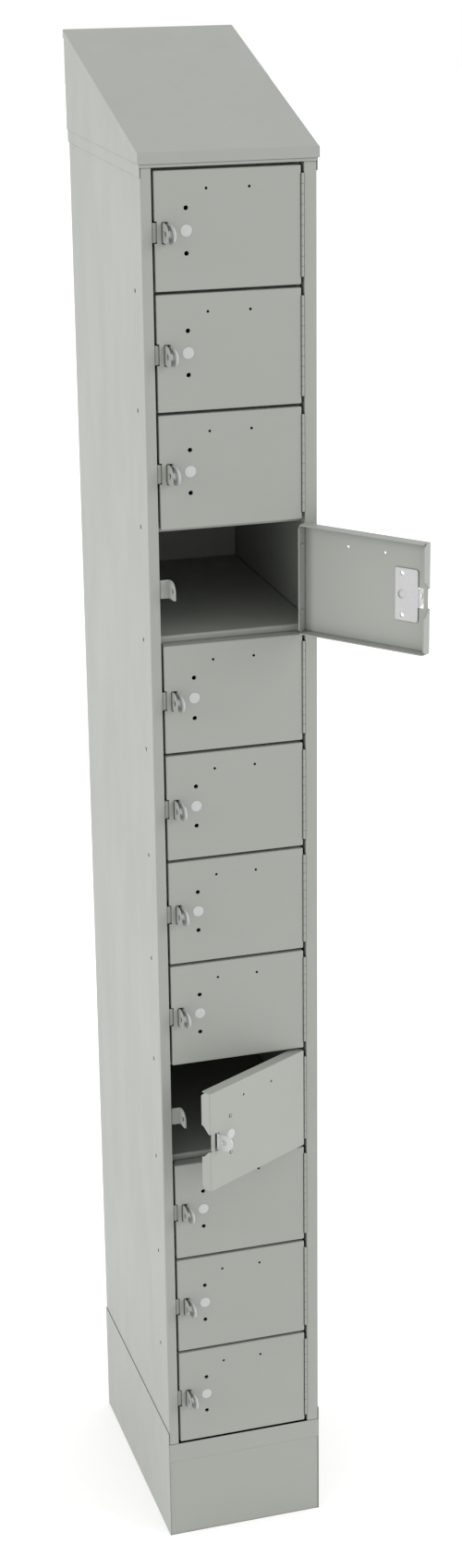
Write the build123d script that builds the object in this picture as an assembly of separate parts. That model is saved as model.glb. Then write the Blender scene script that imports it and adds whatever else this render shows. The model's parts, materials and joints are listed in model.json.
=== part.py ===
from build123d import *
import math
import os

os.makedirs("parts", exist_ok=True)

# Overall size, in millimetres. X runs across the front, Y from front to back, Z up.
# The origin is on the floor, in the middle of the base.
width = 228.6
depth = 381.0
door_count = 12
door_pitch = 152.4
base_height = 156.0
lowest_gap = 157.0

# Sheet thicknesses
sheet = 0.8
frame_sheet = 1.5
door_sheet = 1.5
hood_sheet = 1.1
hasp_sheet = 1.9
latch_sheet = 1.5
bend = 1.6

# Cabinet body
front_flange_left = 13.8
front_flange_right = 16.8
rear_flange = 14.0
jamb_depth = 15.3
stile_left_face = 12.6
stile_right_face = 17.2
gang_hole_r = 3.0
gang_hole_back = 38.0
gang_hole_drop = 1.2

# Shelves
shelf_above_gap = 7.0
shelf_below_gap = 5.0
shelf_lip_back = 17.4
shelf_hem = 7.0

# Doors, measured from the hinge axis towards the free edge
hinge_from_left = 209.5
door_hinge_side = 1.9
door_free_side = 192.5
door_height = 148.4
door_depth = 16.0
door_corner = 1.6
door_inner_corner = 0.3
flange_chamfer = 6.6
plate_hole_r = 1.8
plate_hole_up = 50.9
plate_hole_near = 69.5
plate_hole_far = 125.3
lock_hole_r = 3.0
lock_hole_up = 28.0
lock_at = 151.8
boss_r = 7.6
slot_near = 174.6
slot_far = 183.2
slot_half = 13.6
slot_drop = 1.8
notch_to = 189.3
notch_half = 13.6
notch_drop = 0.6

# Hasp lug on the frame and ear on the door
eye_r = 4.2
eye_out = 8.6
eye_drop = 2.0
lug_lean = math.radians(6.0)
lug_half = 12.3
lug_out = 17.0
lug_at = 181.5
lug_drop = 1.2
lug_top_r = 14.0
lug_low_r = 3.0
strap_back = 2.0
ear_lean = math.radians(13.0)
ear_half = 12.0
ear_out = 22.0
ear_at = 176.2
ear_drop = 2.8
latch_near = 141.5
latch_far = 175.5
latch_half = 35.0

# Hinges
knuckle_r = 1.9
bore_r = 1.0
pin_r = 0.95
knuckle_count = 10
knuckle_pitch = 12.9
knuckle_gap = 0.4
leaf_sheet = 0.8
leaf_depth = 14.0
leaf_start = 2.3
rivet_r = 1.6
rivet_head_r = 3.2
rivet_up = 45.0
rivet_back = 8.5

# Sloping hood and the pan it stands on
pan_top = 1993.0
pan_side_bottom = 1976.0
pan_front_bottom = 1988.0
hood_bottom = 1992.2
hood_front_fold = 2006.4
hood_slope = 0.3
hood_flange = 10.0

# Base
base_lap_top = 175.5
base_band_bottom = 127.0
base_joggle = 0.8
base_gap = 0.15
base_seam = 0.8

# Doors that stand open, by number from the top, in degrees
open_doors = {4: 130.0, 9: 30.0}

x_left = -width / 2
x_right = width / 2
y_front = -depth / 2
y_back = depth / 2
hinge_x = x_left + hinge_from_left
hinge_y = y_front
gaps = [lowest_gap + door_pitch * i for i in range(door_count + 1)]


def slab(x0, x1, y0, y1, z0, z1):
    """A block from one corner to the other."""
    middle = Pos((x0 + x1) / 2, (y0 + y1) / 2, (z0 + z1) / 2)
    return middle * Box(x1 - x0, y1 - y0, z1 - z0)


def rod_x(x0, x1, y, z, r):
    """A round bar along X."""
    return Pos((x0 + x1) / 2, y, z) * Rot(0, 90, 0) * Cylinder(r, x1 - x0)


def rod_y(x, y0, y1, z, r):
    """A round bar along Y."""
    return Pos(x, (y0 + y1) / 2, z) * Rot(90, 0, 0) * Cylinder(r, y1 - y0)


def tube_z(x, y, z0, z1, r):
    """A round bar along Z."""
    return Pos(x, y, (z0 + z1) / 2) * Cylinder(r, z1 - z0)


def outline(points, thick, radius):
    """Closed outline of a bent sheet around its middle line, with rounded bends."""
    def side(sign):
        edge = []
        last = len(points) - 1
        for i, (px, py) in enumerate(points):
            a = points[i - 1] if i > 0 else None
            b = points[i + 1] if i < last else None
            if a is None or b is None:
                dx, dy = (b[0] - px, b[1] - py) if a is None else (px - a[0], py - a[1])
                size = math.hypot(dx, dy)
                edge.append((px - sign * dy / size * thick / 2, py + sign * dx / size * thick / 2))
                continue
            d1 = (px - a[0], py - a[1])
            d2 = (b[0] - px, b[1] - py)
            s1 = math.hypot(*d1)
            s2 = math.hypot(*d2)
            d1 = (d1[0] / s1, d1[1] / s1)
            d2 = (d2[0] / s2, d2[1] / s2)
            turn = math.atan2(d1[0] * d2[1] - d1[1] * d2[0], d1[0] * d2[0] + d1[1] * d2[1])
            back = radius * math.tan(abs(turn) / 2)
            way = 1 if turn > 0 else -1
            cx = px - d1[0] * back - way * d1[1] * radius
            cy = py - d1[1] * back + way * d1[0] * radius
            r = radius - way * sign * thick / 2
            start = math.atan2(-way * d1[0], way * d1[1])
            arc = [start + turn * k / 2 for k in range(3)]
            edge.append([(cx + r * math.cos(q), cy + r * math.sin(q)) for q in arc])
        return edge
    return side(1), side(-1)


def bent_face(points, thick, radius):
    """Flat face of a bent sheet's section, in the XY plane."""
    left, right = outline(points, thick, radius)
    parts = []

    def walk(edge):
        here = None
        for item in edge:
            if isinstance(item, list):
                if here is not None:
                    parts.append(Line(here, item[0]))
                parts.append(ThreePointArc(*item))
                here = item[2]
            else:
                if here is not None:
                    parts.append(Line(here, item))
                here = item
        return here

    end_left = walk(left)
    start_right = right[0]
    flipped = [i[::-1] if isinstance(i, list) else i for i in right[::-1]]
    parts.append(Line(end_left, flipped[0]))
    walk(flipped)
    parts.append(Line(start_right, left[0]))
    return make_face(Wire(parts))


def bent_up(points, thick, radius, z0, z1):
    """A bent sheet whose section lies in XY, standing from z0 to z1."""
    return Pos(0, 0, z0) * extrude(bent_face(points, thick, radius), z1 - z0)


def bent_across(points, thick, radius, x0, x1):
    """A bent sheet whose section is given as (y, z) points, running from x0 to x1."""
    plane = Plane(origin=(x0, 0, 0), x_dir=(0, 1, 0), z_dir=(1, 0, 0))
    return extrude(plane * bent_face(points, thick, radius), x1 - x0)


def plate_yz(points, x0, x1):
    """A flat plate from a closed list of (y, z) points."""
    plane = Plane(origin=(x0, 0, 0), x_dir=(0, 1, 0), z_dir=(1, 0, 0))
    return extrude(plane * make_face(Polyline(*points, close=True)), x1 - x0)


def one(shape):
    """The single solid of a finished piece."""
    found = shape.solids()
    assert len(found) == 1
    return found[0]


def group(solids):
    """Repeats of a piece kept together as separate solids."""
    return Compound(children=[one(s) for s in solids])


def save(shape, name):
    """Write one piece."""
    export_step(shape, "parts/" + name + ".step")


def gang_holes(side, heights):
    """Cutters for the holes that join neighbouring cabinets."""
    x = x_left if side < 0 else x_right
    y = y_front + gang_hole_back
    return [rod_x(x - 8, x + 8, y, z - gang_hole_drop, gang_hole_r) for z in heights]


def side_panel(side):
    """Side sheet with its front and rear edges bent inwards."""
    x = (x_left if side < 0 else x_right) - side * sheet / 2
    face = front_flange_left if side < 0 else front_flange_right
    edge = x_left if side < 0 else x_right
    points = [
        (edge - side * rear_flange, y_back - sheet / 2),
        (x, y_back - sheet / 2),
        (x, y_front + sheet / 2),
        (edge - side * face, y_front + sheet / 2),
    ]
    body = bent_up(points, sheet, bend, base_height + base_seam, pan_top - hood_sheet)
    return body - gang_holes(side, gaps[1:-1])


def back_panel():
    """Flat sheet inside the rear flanges."""
    y = y_back - sheet
    x = x_right - sheet - 1.5
    return slab(-x, x, y - sheet, y, base_height, pan_top - hood_sheet)


def top_panel():
    """Flat pan over the cabinet with its edges turned down outside."""
    x = x_right + hood_sheet
    y0 = y_front - hood_sheet
    y1 = y_back + hood_sheet
    outer = slab(-x, x, y0, y1, pan_side_bottom, pan_top)
    outer = fillet(outer.edges().group_by(Axis.Z)[-1], 1.2)
    inner = slab(x_left, x_right, y_front, y_back, pan_side_bottom - 1, pan_top - hood_sheet)
    pan = outer - inner
    return pan - slab(-x - 1, x + 1, y0 - 1, y_front, pan_side_bottom - 1, pan_front_bottom)


def shelf(top, drop):
    """Shelf with a rolled front lip, side flanges and a rear flange."""
    x = x_right - sheet - 0.1
    y0 = y_front + shelf_lip_back
    y1 = y_back - 2 * sheet - 0.1
    mid = sheet / 2
    points = [
        (y0 + shelf_hem, top - drop + mid),
        (y0 + mid, top - drop + mid),
        (y0 + mid, top - mid),
        (y1 - mid, top - mid),
        (y1 - mid, top - drop),
    ]
    body = bent_across(points, sheet, 2.2, -x, x)
    for side in (-1, 1):
        edge = side * (x - mid)
        body += slab(edge - mid, edge + mid, y0 + 4, y1 - 4, top - drop, top - mid)
    return body


def shelves():
    """The eleven shelves between the compartments."""
    made = []
    for gap in gaps[1:-1]:
        body = shelf(gap + shelf_above_gap, shelf_above_gap + shelf_below_gap)
        made.append(body - gang_holes(-1, [gap]) - gang_holes(1, [gap]))
    return group(made)


def bottom_panel():
    """Floor of the lowest compartment, its lip reaching down behind the base."""
    top = gaps[0] + shelf_above_gap
    return shelf(top, top - base_height + 6)


def stile(side):
    """Frame channel behind the front flange, its inner leg forming the door jamb."""
    mid = frame_sheet / 2
    edge = x_left if side < 0 else x_right
    face = stile_left_face if side < 0 else stile_right_face
    outer = edge - side * (sheet + 0.1 + mid)
    inner = edge - side * (face - mid)
    y = y_front + sheet + 0.05 + mid
    rear = y_front + jamb_depth
    points = [(outer, rear), (outer, y), (inner, y), (inner, rear)]
    return bent_up(points, frame_sheet, bend, base_height + base_seam, pan_front_bottom + 3)


def frame_header():
    """Cross member over the top door, with a lip that the door closes near."""
    mid = frame_sheet / 2
    x0 = x_left + stile_left_face + 0.1
    x1 = x_right - stile_right_face - 0.1
    y = y_front + sheet + 0.05 + mid
    z = pan_front_bottom + 0.2 + mid
    lip = y_front + shelf_lip_back + mid
    points = [(y, z + 2.6), (y, z), (lip, z), (lip, gaps[-1] - shelf_below_gap)]
    return bent_across(points, frame_sheet, 0.9, x0, x1)


def eye_cut(height):
    """Cutter for the padlock eye, straight across the front."""
    return rod_x(x_left + 15, x_left + 50, y_front - eye_out, height - eye_drop, eye_r)


def ear_blank(height):
    """Half-round profile of the ear, used to trim it."""
    y = y_front - ear_out + ear_half
    low = height - ear_half
    block = slab(x_left, x_left + 60, y, y_front + 20, low, low + 2 * ear_half)
    nose = rod_x(x_left, x_left + 60, y, height, ear_half)
    return block + nose


def lug_blank(height):
    """Profile of the lug, well rounded above and a little below, used to trim it."""
    low = height - lug_half
    high = height + lug_half
    block = slab(x_left, x_left + 60, y_front - lug_out, y_front + 20, low, high)
    front = block.edges().filter_by(Axis.X).group_by(Axis.Y)[0]
    block = fillet(front.sort_by(Axis.Z)[0], lug_low_r)
    front = block.edges().filter_by(Axis.X).group_by(Axis.Y)[0]
    return fillet(front.sort_by(Axis.Z)[-1], lug_top_r)


def hasp(height):
    """Strap from the jamb that turns forward through the door's slot."""
    mid = hasp_sheet / 2
    x0 = x_left + stile_left_face + mid
    y = y_front + strap_back + mid
    blade = hinge_x - lug_at
    foot = blade - (strap_back + mid) * math.tan(lug_lean)
    tip = blade + (lug_out + 2) * math.tan(lug_lean)
    points = [(x0, y_front + jamb_depth - 0.5), (x0, y), (foot, y), (tip, y_front - lug_out - 2)]
    middle = height - lug_drop
    body = bent_up(points, hasp_sheet, 2.6, middle - lug_half, middle + lug_half)
    body &= lug_blank(middle)
    return body - eye_cut(height)


def door_heights():
    """Middle height of each door, from the top one down."""
    return [(gaps[-1 - n] + gaps[-2 - n]) / 2 for n in range(door_count)]


def hasps():
    """One strap for each door."""
    return group([hasp(z) for z in door_heights()])


def door_pan(z):
    """Door face with four flanges, cut for the latch and drilled."""
    x0 = hinge_x - door_free_side
    x1 = hinge_x - door_hinge_side
    half = door_height / 2
    y1 = y_front + door_depth
    outer = slab(x0, x1, y_front, y1, z - half, z + half)
    front = outer.faces().sort_by(Axis.Y)[0]
    outer = fillet(list(outer.edges().filter_by(Axis.Y)) + list(front.edges()), door_corner)
    t = door_sheet
    inner = slab(x0 + t, x1 - t, y_front + t, y1 + 5, z - half + t, z + half - t)
    face = inner.faces().sort_by(Axis.Y)[0]
    inner = fillet(list(inner.edges().filter_by(Axis.Y)) + list(face.edges()), door_inner_corner)
    pan = outer - inner
    for side in (-1, 1):
        wide = half + 1
        tip = z + side * (half - flange_chamfer)
        rim = z + side * wide
        start = y1 - flange_chamfer - 1
        points = [(y1 + 1, tip), (y1 + 1, rim), (start, rim)]
        pan -= plate_yz(points, x0 - 1, x0 + t + 0.6)
        pan -= plate_yz(points, x1 - t - 0.6, x1 + 1)
    notch_x = hinge_x - notch_to
    low = z - notch_drop - notch_half
    high = z - notch_drop + notch_half
    pan -= slab(x0 - 1, notch_x, y_front - 1, y1 + 1, low, high)
    start = y_front + 3.0
    points = [
        (start, low - 0.3),
        (start + 10, low - 10.3),
        (y1 + 1, low - 10.3),
        (y1 + 1, high + 10.3),
        (start + 10, high + 10.3),
        (start, high + 0.3),
    ]
    pan -= plate_yz(points, x0 - 1, x0 + t + 0.6)
    ya = y_front - 1
    yb = y_front + t + 1
    low = z - slot_drop - slot_half
    slot = slab(hinge_x - slot_far, hinge_x - slot_near, ya, yb, low, low + 2 * slot_half)
    pan -= fillet(slot.edges().filter_by(Axis.Y), 1.0)
    pan -= rod_y(hinge_x - lock_at, ya, yb, z, boss_r + 0.06)
    for up in (-lock_hole_up, lock_hole_up):
        pan -= rod_y(hinge_x - lock_at, ya, yb, z + up, lock_hole_r)
    for along in (plate_hole_near, plate_hole_far):
        pan -= rod_y(hinge_x - along, ya, yb, z + plate_hole_up, plate_hole_r)
    for up in (-rivet_up, rivet_up):
        pan -= rod_x(x1 - t - 1, x1 + 1, y_front + rivet_back, z + up, rivet_r + 0.02)
    return pan


def latch_plate(z):
    """Cover plate behind the door, its tab bent out through the slot as an ear."""
    mid = latch_sheet / 2
    y0 = y_front + door_sheet
    y = y0 + mid
    x0 = hinge_x - latch_far
    x1 = hinge_x - latch_near
    plate = slab(x0, x1, y0, y0 + latch_sheet, z - latch_half, z + latch_half)
    plate = fillet(plate.edges().filter_by(Axis.Y), 3.0)
    blade = hinge_x - ear_at
    foot = blade - (door_sheet + mid) * math.tan(ear_lean)
    tip = blade + (ear_out + 2) * math.tan(ear_lean)
    points = [(x1 - 5, y), (foot, y), (tip, y_front - ear_out - 2)]
    middle = z - ear_drop
    tab = bent_up(points, latch_sheet, 1.25, middle - ear_half, middle + ear_half)
    tab &= ear_blank(middle)
    boss = rod_y(hinge_x - lock_at, y_front - 0.3, y0 + 0.5, z, boss_r)
    boss = fillet(boss.edges().sort_by(Axis.Y)[0], 0.3)
    body = plate + tab + boss
    body -= rod_y(hinge_x - lock_at, y_front + 1.4, y0 + latch_sheet + 1, z, boss_r - 1.6)
    for up in (-lock_hole_up, lock_hole_up):
        body -= rod_y(hinge_x - lock_at, y0 - 1, y0 + latch_sheet + 1, z + up, lock_hole_r)
    return body - eye_cut(z)


def hinge_leaf(z, side):
    """Hinge leaf with every other knuckle. Side -1 is the door's, 1 is the frame's."""
    half = knuckle_count * knuckle_pitch / 2
    x_in = hinge_x + side * knuckle_r
    x_out = x_in - side * leaf_sheet
    x0 = min(x_in, x_out)
    x1 = max(x_in, x_out)
    body = slab(x0, x1, hinge_y + leaf_start, hinge_y + leaf_depth, z - half, z + half)
    first = 0 if side < 0 else 1
    for k in range(first, knuckle_count, 2):
        low = z - half + k * knuckle_pitch + knuckle_gap / 2
        high = low + knuckle_pitch - knuckle_gap
        body += tube_z(hinge_x, hinge_y, low, high, knuckle_r)
        body += slab(x0, x1, hinge_y, hinge_y + leaf_start + 0.2, low, high)
    body -= tube_z(hinge_x, hinge_y, z - half - 1, z + half + 1, bore_r)
    if side < 0:
        for up in (-rivet_up, rivet_up):
            body -= rod_x(x0 - 1, x1 + 1, hinge_y + rivet_back, z + up, rivet_r + 0.02)
    return body


def rivet(z):
    """Rivet that holds the door's hinge leaf, its head inside the door."""
    x_face = hinge_x - door_hinge_side
    x_in = x_face - door_sheet
    y = hinge_y + rivet_back
    shank = rod_x(x_in - 0.3, x_face + leaf_sheet, y, z, rivet_r)
    head = rod_x(x_in - 1.3, x_in, y, z, rivet_head_r)
    head = fillet(head.edges().sort_by(Axis.X)[0], 1.0)
    return shank + head


def door_hinge(z):
    """The door's hinge leaf and its two rivets."""
    return group([hinge_leaf(z, -1)] + [rivet(z + up) for up in (-rivet_up, rivet_up)])


def frame_hinge_leaves():
    """The frame's hinge leaves, one for each door."""
    return group([hinge_leaf(z, 1) for z in door_heights()])


def hinge_pins():
    """The hinge pins, one for each door."""
    half = knuckle_count * knuckle_pitch / 2
    return group([tube_z(hinge_x, hinge_y, z - half, z + half, pin_r) for z in door_heights()])


def hood_line(y):
    """Height of the hood's outer slope at a given distance back."""
    return hood_front_fold + (y - (y_front - 2 * hood_sheet)) * hood_slope


def hood_section(grow_front, grow_back, down, bottom):
    """Side view of the hood, moved in by the given amounts."""
    y0 = y_front - grow_front
    y1 = y_back + grow_back
    drop = down * math.hypot(1, hood_slope)
    top0 = hood_line(y0) - drop
    top1 = hood_line(y1) - drop
    return [(y0, bottom), (y0, top0), (y1, top1), (y1, bottom)]


def slope_cover():
    """Sloping sheet with a front fascia and narrow side and rear flanges."""
    x = x_right + 3 * hood_sheet
    outer = plate_yz(hood_section(2 * hood_sheet, 3 * hood_sheet, 0, hood_bottom), -x, x)
    tops = [e for e in outer.edges() if e.center().Z > hood_front_fold - 2]
    outer = fillet(tops, 1.8)
    inner_x = x - hood_sheet
    inner = plate_yz(hood_section(hood_sheet, 2 * hood_sheet, hood_sheet, hood_bottom - 2), -inner_x, inner_x)
    tops = [e for e in inner.edges() if e.center().Z > hood_front_fold - 4]
    inner = fillet(tops, 1.0)
    cover = outer - inner
    skirt = hood_section(hood_sheet, 4 * hood_sheet, hood_flange, hood_bottom - 2)
    skirt[1] = (skirt[1][0], min(skirt[1][1], hood_front_fold - hood_flange))
    return cover - plate_yz(skirt, -x - 1, x + 1)


def slope_end(side):
    """Side wall of the hood with a foot turned in over the pan."""
    x = side * (x_right + hood_sheet)
    x0 = min(x, x + side * hood_sheet)
    section = hood_section(-0.4, hood_sheet, hood_sheet + 2.2, hood_bottom)
    wall = plate_yz(section, x0, x0 + hood_sheet)
    foot_x = side * (x_right + hood_sheet - 12)
    low = min(foot_x, x + side * 0.1)
    high = max(foot_x, x + side * 0.1)
    return wall + slab(low, high, y_front + 5, y_back - 5, pan_top, pan_top + hood_sheet)


def slope_back():
    """Rear wall of the hood."""
    x = x_right + 0.4
    y = y_back + hood_sheet
    top = hood_line(y) - hood_sheet * math.hypot(1, hood_slope) - 2.2
    points = [(y, hood_bottom), (y + hood_sheet, hood_bottom), (y + hood_sheet, top), (y, top)]
    return plate_yz(points, -x, x)


def base_front():
    """Front of the base: a band under the doors with a small set back below it."""
    mid = sheet / 2
    y = y_front + mid
    low = y + base_joggle
    z = base_band_bottom
    points = [
        (y, base_height),
        (y, z),
        (low, z - base_joggle * 1.6),
        (low, 0),
    ]
    return bent_across(points, sheet, 0.9, x_left, x_right)


def base_side(side):
    """Side of the base, lapping up outside the cabinet."""
    x = side * (x_right + base_gap)
    x0 = min(x, x + side * sheet)
    return slab(x0, x0 + sheet, y_front, y_back, 0, base_lap_top)


def base_back():
    """Rear of the base, a flat sheet."""
    x = x_right + base_gap
    return slab(-x, x, y_back - sheet, y_back, 0, base_height)


def base_floor():
    """Closed underside of the base, its edges turned up inside the walls."""
    x = x_right + base_gap
    y0 = y_front + base_joggle + sheet
    y1 = y_back - sheet
    outer = slab(-x, x, y0, y1, 0, 14)
    inner = slab(-x + sheet, x - sheet, y0 + sheet, y1 - sheet, sheet, 15)
    return outer - inner


def swing(shape, number):
    """Turn a door's piece about its hinge to where it rests."""
    angle = open_doors.get(number, 0.0)
    return Pos(hinge_x, hinge_y, 0) * Rot(0, 0, angle) * Pos(-hinge_x, -hinge_y, 0) * shape


def build_doors():
    """Three pieces for each door."""
    for number, z in enumerate(door_heights(), start=1):
        name = "door_%02d_" % number
        save(swing(one(door_pan(z)), number), name + "pan")
        save(swing(one(latch_plate(z)), number), name + "latch_plate")
        save(swing(door_hinge(z), number), name + "hinge")


def build_cabinet():
    """Everything that stays still."""
    save(one(side_panel(-1)), "left_side_panel")
    save(one(side_panel(1)), "right_side_panel")
    save(one(back_panel()), "back_panel")
    save(one(top_panel()), "top_panel")
    save(one(bottom_panel()), "bottom_panel")
    save(shelves(), "shelves")
    save(one(stile(-1)), "frame_stile_left")
    save(one(stile(1)), "frame_stile_right")
    save(one(frame_header()), "frame_header")
    save(hasps(), "hasps")
    save(frame_hinge_leaves(), "frame_hinge_leaves")
    save(hinge_pins(), "hinge_pins")
    save(one(slope_cover()), "slope_cover")
    save(one(slope_end(-1)), "slope_end_left")
    save(one(slope_end(1)), "slope_end_right")
    save(one(slope_back()), "slope_back")
    save(one(base_front()), "base_front")
    save(one(base_side(-1)), "base_left")
    save(one(base_side(1)), "base_right")
    save(one(base_back()), "base_back")
    save(one(base_floor()), "base_floor")


build_cabinet()
build_doors()
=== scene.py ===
import json
import math
import bpy
import bmesh
from mathutils import Matrix, Vector

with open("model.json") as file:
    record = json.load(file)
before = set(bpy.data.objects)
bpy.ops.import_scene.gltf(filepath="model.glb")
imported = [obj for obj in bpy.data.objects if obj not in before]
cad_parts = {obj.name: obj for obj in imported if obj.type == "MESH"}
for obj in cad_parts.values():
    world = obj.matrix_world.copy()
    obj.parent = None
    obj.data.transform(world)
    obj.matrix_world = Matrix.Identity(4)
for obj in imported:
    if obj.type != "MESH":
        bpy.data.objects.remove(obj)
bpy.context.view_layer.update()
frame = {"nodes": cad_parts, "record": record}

scene = bpy.context.scene
nodes = frame["nodes"]
print("frame loaded,", len(nodes), "nodes")


class Wire:
    def __init__(self, sheet, socket):
        self.sheet = sheet
        self.socket = socket

    def sum(self, operation, a, b):
        return self.sheet.put("ShaderNodeMath", {"operation": operation}, {0: a, 1: b})

    def __add__(self, other):
        return self.sum("ADD", self, other)

    def __radd__(self, other):
        return self.sum("ADD", other, self)

    def __sub__(self, other):
        return self.sum("SUBTRACT", self, other)

    def __rsub__(self, other):
        return self.sum("SUBTRACT", other, self)

    def __mul__(self, other):
        return self.sum("MULTIPLY", self, other)

    def __rmul__(self, other):
        return self.sum("MULTIPLY", other, self)

    def __pow__(self, other):
        return self.sum("POWER", self, other)


class Finish:
    def __init__(self, name):
        self.material = bpy.data.materials.new(name)
        self.material.use_nodes = True
        self.tree = self.material.node_tree
        self.tree.nodes.clear()
        self.output = self.tree.nodes.new("ShaderNodeOutputMaterial")
        self.shader = self.tree.nodes.new("ShaderNodeBsdfPrincipled")
        self.tree.links.new(self.shader.outputs[0], self.output.inputs["Surface"])
        self.place = self.put("ShaderNodeTexCoord", {}, {}, "Object")

    def put(self, kind, settings, values, out=0):
        node = self.tree.nodes.new(kind)
        for key, value in settings.items():
            setattr(node, key, value)
        for key, value in values.items():
            if isinstance(value, Wire):
                self.tree.links.new(value.socket, node.inputs[key])
            else:
                node.inputs[key].default_value = value
        return Wire(self, node.outputs[out])

    def give(self, name, value):
        if isinstance(value, Wire):
            self.tree.links.new(value.socket, self.shader.inputs[name])
        else:
            self.shader.inputs[name].default_value = value

    def noise(self, scale, detail=3.0, rough=0.55, stretch=(1, 1, 1)):
        spot = self.put("ShaderNodeMapping", {}, {"Vector": self.place, "Scale": stretch})
        values = {"Vector": spot, "Scale": scale, "Detail": detail, "Roughness": rough}
        return self.put("ShaderNodeTexNoise", {}, values)

    def ramp(self, value, low, high):
        smooth = {"interpolation_type": "SMOOTHSTEP"}
        return self.put("ShaderNodeMapRange", smooth, {0: value, 1: low, 2: high})

    def mixColour(self, factor, a, b):
        kind = {"data_type": "RGBA", "blend_type": "MIX"}
        return self.put("ShaderNodeMix", kind, {0: factor, 6: a, 7: b}, 2)

    def bump(self, strength, distance, height, normal=None):
        values = {"Strength": strength, "Distance": distance, "Height": height}
        if normal:
            values["Normal"] = normal
        return self.put("ShaderNodeBump", {}, values)

    # ambient occlusion mask, used to paint shade into crevices, laps and gaps
    def creviceShade(self, reach):
        return self.put("ShaderNodeAmbientOcclusion", {"samples": 8}, {"Distance": reach}, "AO")

    def edges(self, radius):
        rounded = self.put("ShaderNodeBevel", {"samples": 6}, {"Radius": radius})
        plain = self.put("ShaderNodeNewGeometry", {}, {}, "Normal")
        dot = {"operation": "DOT_PRODUCT"}
        match = self.put("ShaderNodeVectorMath", dot, {0: rounded, 1: plain}, "Value")
        return rounded, 1.0 - match


def shade(colour, amount):
    return tuple(min(1.0, c * amount) for c in colour[:3]) + (1.0,)


# powder coat over folded sheet, shared by the cabinet and the doors
paintLook = {
    "colour": (0.256, 0.266, 0.243, 1.0),
    "cloudScale": 2.6,        # broad drift in tone across a sheet, per metre
    "peelScale": 520.0,       # orange peel, about two millimetres from crest to crest
    "grainScale": 2600.0,
    "peelHeight": 0.00003,
    "roughness": 0.46,
    "edgeRadius": 0.0007,
    "shadeReach": 0.003,       # how far the painted shade beside a lap or step spreads
    "shadeDepth": 0.75,
}


def powderCoat(name, tone=1.0, peel=1.0, edgeLift=0.10):
    look = paintLook
    skin = Finish(name)
    base = shade(look["colour"], tone)
    cloud = skin.noise(look["cloudScale"], 2.0)
    patch = skin.noise(look["cloudScale"] * 9, 3.0, 0.6)
    colour = skin.mixColour(skin.ramp(cloud, 0.35, 0.65), shade(base, 0.985), shade(base, 1.015))
    colour = skin.mixColour(skin.ramp(patch, 0.4, 0.75) * 0.35, colour, shade(base, 1.03))
    grain = skin.noise(look["grainScale"], 2.0)
    colour = skin.mixColour(skin.ramp(grain, 0.62, 0.80) * 0.22, colour, shade(base, 0.90))
    rounded, edge = skin.edges(look["edgeRadius"])
    worn = skin.ramp(edge, 0.02, 0.25) * skin.ramp(skin.noise(70.0, 3.0), 0.35, 0.7)
    colour = skin.mixColour(worn * edgeLift * 4, colour, shade(base, 1.22))
    # painted shade: the colour darkens where ambient occlusion finds a lap, step or gap, standing in
    # for the shadow that falls there
    paintedShade = 1.0 - skin.ramp(skin.creviceShade(look["shadeReach"]), 0.55, 0.94)
    colour = skin.mixColour(paintedShade * look["shadeDepth"], colour, shade(base, 0.30))
    skin.give("Base Color", colour)
    rub = skin.noise(16.0, 4.0, 0.6, (1, 1, 0.35))
    skin.give("Roughness", look["roughness"] + (skin.ramp(rub, 0.3, 0.75) - 0.5) * 0.08 - worn * 0.08)
    peelNoise = skin.noise(look["peelScale"], 1.5, 0.45)
    height = peelNoise * 0.8 + grain * 0.2
    skin.give("Normal", skin.bump(0.55 * peel, look["peelHeight"], height, rounded))
    skin.give("Specular IOR Level", 0.45)
    return skin.material


# bright zinc plate on the latch pieces
zincLook = {
    "colour": (0.43, 0.43, 0.435, 1.0),
    "stain": (0.40, 0.405, 0.39, 1.0),
    "crystalScale": 380.0,
    "brushScale": 900.0,
    "brushHeight": 0.00002,
    "metallic": 0.35,
    "roughness": 0.42,
    "edgeRadius": 0.0006,
}


def zincPlate(name):
    look = zincLook
    skin = Finish(name)
    base = look["colour"]
    cells = {"Vector": skin.place, "Scale": look["crystalScale"], "Randomness": 1.0}
    crystal = skin.put("ShaderNodeTexVoronoi", {"feature": "F1"}, cells, "Color")
    tint = skin.put("ShaderNodeRGBToBW", {}, {"Color": crystal})
    brush = skin.noise(look["brushScale"], 3.0, 0.6, (1, 1, 0.06))
    stain = skin.noise(60.0, 4.0, 0.6)
    colour = skin.mixColour(tint * 0.5, base, shade(base, 0.88))
    colour = skin.mixColour(skin.ramp(stain, 0.5, 0.8) * 0.5, colour, look["stain"])
    rounded, edge = skin.edges(look["edgeRadius"])
    # painted highlight: the zinc is lighter along its rounded edges, standing in for the light they
    # catch
    colour = skin.mixColour(skin.ramp(edge, 0.02, 0.3) * 0.6, colour, shade(base, 1.18))
    skin.give("Base Color", colour)
    skin.give("Metallic", look["metallic"])
    skin.give("Roughness", look["roughness"] + (brush - 0.5) * 0.25 + (tint - 0.5) * 0.08)
    skin.give("Normal", skin.bump(0.35, look["brushHeight"], brush + tint * 0.5, rounded))
    return skin.material


# drawn steel for the hinge pins
pinLook = {
    "colour": (0.42, 0.42, 0.43, 1.0),
    "drawScale": 1500.0,
    "lineHeight": 0.00001,
    "roughness": 0.38,
}


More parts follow.
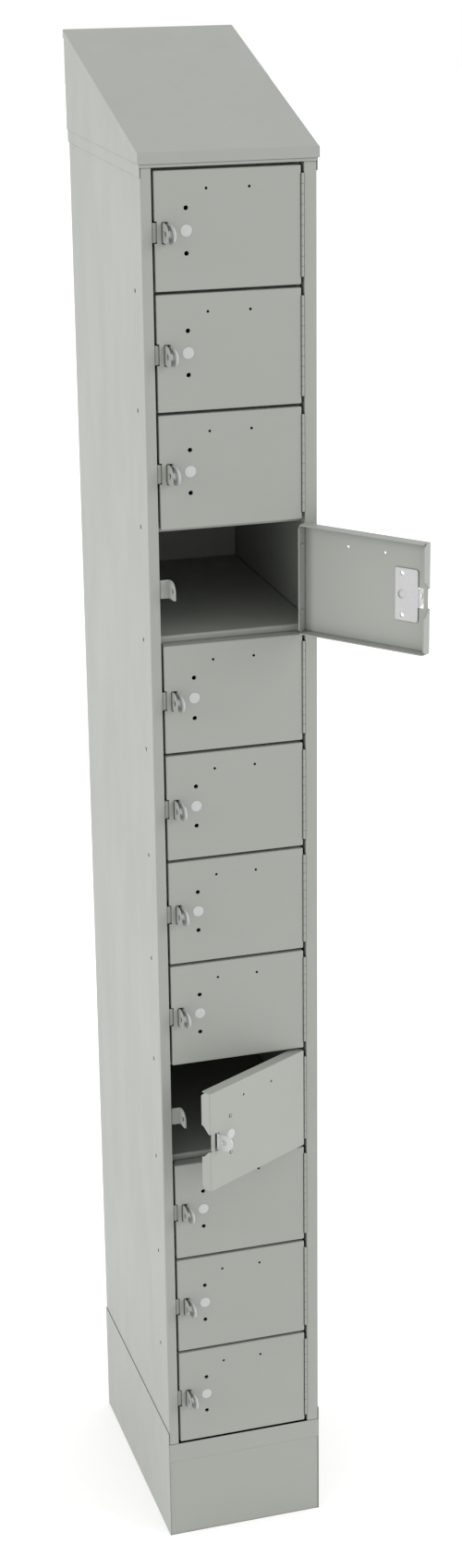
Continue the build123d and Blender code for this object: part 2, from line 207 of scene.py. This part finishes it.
def drawnSteel(name):
    look = pinLook
    skin = Finish(name)
    lines = skin.noise(look["drawScale"], 3.0, 0.6, (1, 1, 0.02))
    oil = skin.noise(90.0, 3.0)
    colour = skin.mixColour(skin.ramp(oil, 0.4, 0.7), look["colour"], shade(look["colour"], 0.7))
    skin.give("Base Color", colour)
    skin.give("Metallic", 0.9)
    skin.give("Roughness", look["roughness"] + (lines - 0.5) * 0.3)
    skin.give("Normal", skin.bump(0.3, look["lineHeight"], lines))
    return skin.material


# pale matt floor
floorLook = {
    "colour": (0.86, 0.86, 0.855, 1.0),
    "size": 40.0,
    "roughness": 0.8,
    "glow": 0.16,             # keeps the shadows on the floor faint
}


def paleFloor(name):
    look = floorLook
    skin = Finish(name)
    cloud = skin.noise(0.8, 3.0)
    skin.give("Base Color", skin.mixColour(cloud, shade(look["colour"], 0.985), look["colour"]))
    skin.give("Roughness", look["roughness"])
    skin.give("Emission Color", (1.0, 1.0, 1.0, 1.0))
    skin.give("Emission Strength", look["glow"])
    return skin.material


finishes = {
    "cabinet_paint": powderCoat("cabinetPowderCoat"),
    "door_paint": powderCoat("doorPowderCoat", 0.995),
    "hinge_paint": powderCoat("hingePowderCoat", 0.97, 0.6, 0.2),
    "zinc": zincPlate("latchZinc"),
    "pin_steel": drawnSteel("pinSteel"),
}
slotOf = {entry["node"]: entry["material_slot"] for entry in frame["record"]["subparts"]}
for name, obj in nodes.items():
    for place in obj.material_slots:
        place.material = finishes[slotOf[name]]
print("finishes made")


# soft studio light: an even white sky, a broad lamp from the left and behind, another from the right
stageLook = {
    "sky": 1.0,
    "lamps": {
        "leftLamp": {"round": -92.0, "up": 20.0, "strength": 1.57, "soft": 34.0},
        "rightLamp": {"round": 60.0, "up": 20.0, "strength": 1.62, "soft": 34.0},
    },
}


def makeFloor():
    shape = bmesh.new()
    bmesh.ops.create_grid(shape, x_segments=4, y_segments=4, size=floorLook["size"] / 2)
    mesh = bpy.data.meshes.new("studioFloor")
    shape.to_mesh(mesh)
    shape.free()
    floor = bpy.data.objects.new("studioFloor", mesh)
    scene.collection.objects.link(floor)
    mesh.materials.append(paleFloor("studioFloor"))


def makeSky():
    sky = bpy.data.worlds.new("studioSky")
    scene.world = sky
    sky.use_nodes = True
    back = sky.node_tree.nodes["Background"]
    back.inputs["Color"].default_value = (1.0, 1.0, 1.0, 1.0)
    back.inputs["Strength"].default_value = stageLook["sky"]


def makeLamps():
    for name, look in stageLook["lamps"].items():
        data = bpy.data.lights.new(name, "SUN")
        data.energy = look["strength"]
        data.angle = math.radians(look["soft"])
        lamp = bpy.data.objects.new(name, data)
        turn, up = math.radians(look["round"]), math.radians(look["up"])
        flat = math.cos(up)
        toLamp = Vector((math.sin(turn) * flat, -math.cos(turn) * flat, math.sin(up)))
        lamp.location = toLamp * 6
        lamp.rotation_mode = "QUATERNION"
        lamp.rotation_quaternion = (-toLamp).to_track_quat("-Z", "Y")
        scene.collection.objects.link(lamp)


makeFloor()
makeSky()
makeLamps()
print("stage set")


cameraLook = {
    "spot": (-0.97568, -3.55967, 2.43895),
    "ahead": (0.28897, 0.88651, -0.36137),
    "down": (-0.11204, -0.34356, -0.93242),
    "lens": 63.67,
    "shiftAcross": -0.0589,
    "shiftUp": 0.0410,
}


def makeCamera():
    look = cameraLook
    data = bpy.data.cameras.new("camera")
    data.sensor_width = 36.0
    data.lens = look["lens"]
    data.shift_x = look["shiftAcross"]
    data.shift_y = look["shiftUp"]
    data.clip_start, data.clip_end = 0.05, 100
    camera = bpy.data.objects.new("camera", data)
    ahead = Vector(look["ahead"]).normalized()
    up = -Vector(look["down"])
    right = ahead.cross(up).normalized()
    up = right.cross(ahead)
    turn = Matrix((right, up, -ahead)).transposed()
    camera.matrix_world = Matrix.Translation(look["spot"]) @ turn.to_4x4()
    scene.collection.objects.link(camera)
    scene.camera = camera


makeCamera()
scene.view_settings.view_transform = "Standard"
scene.view_settings.look = "None"

print("done")
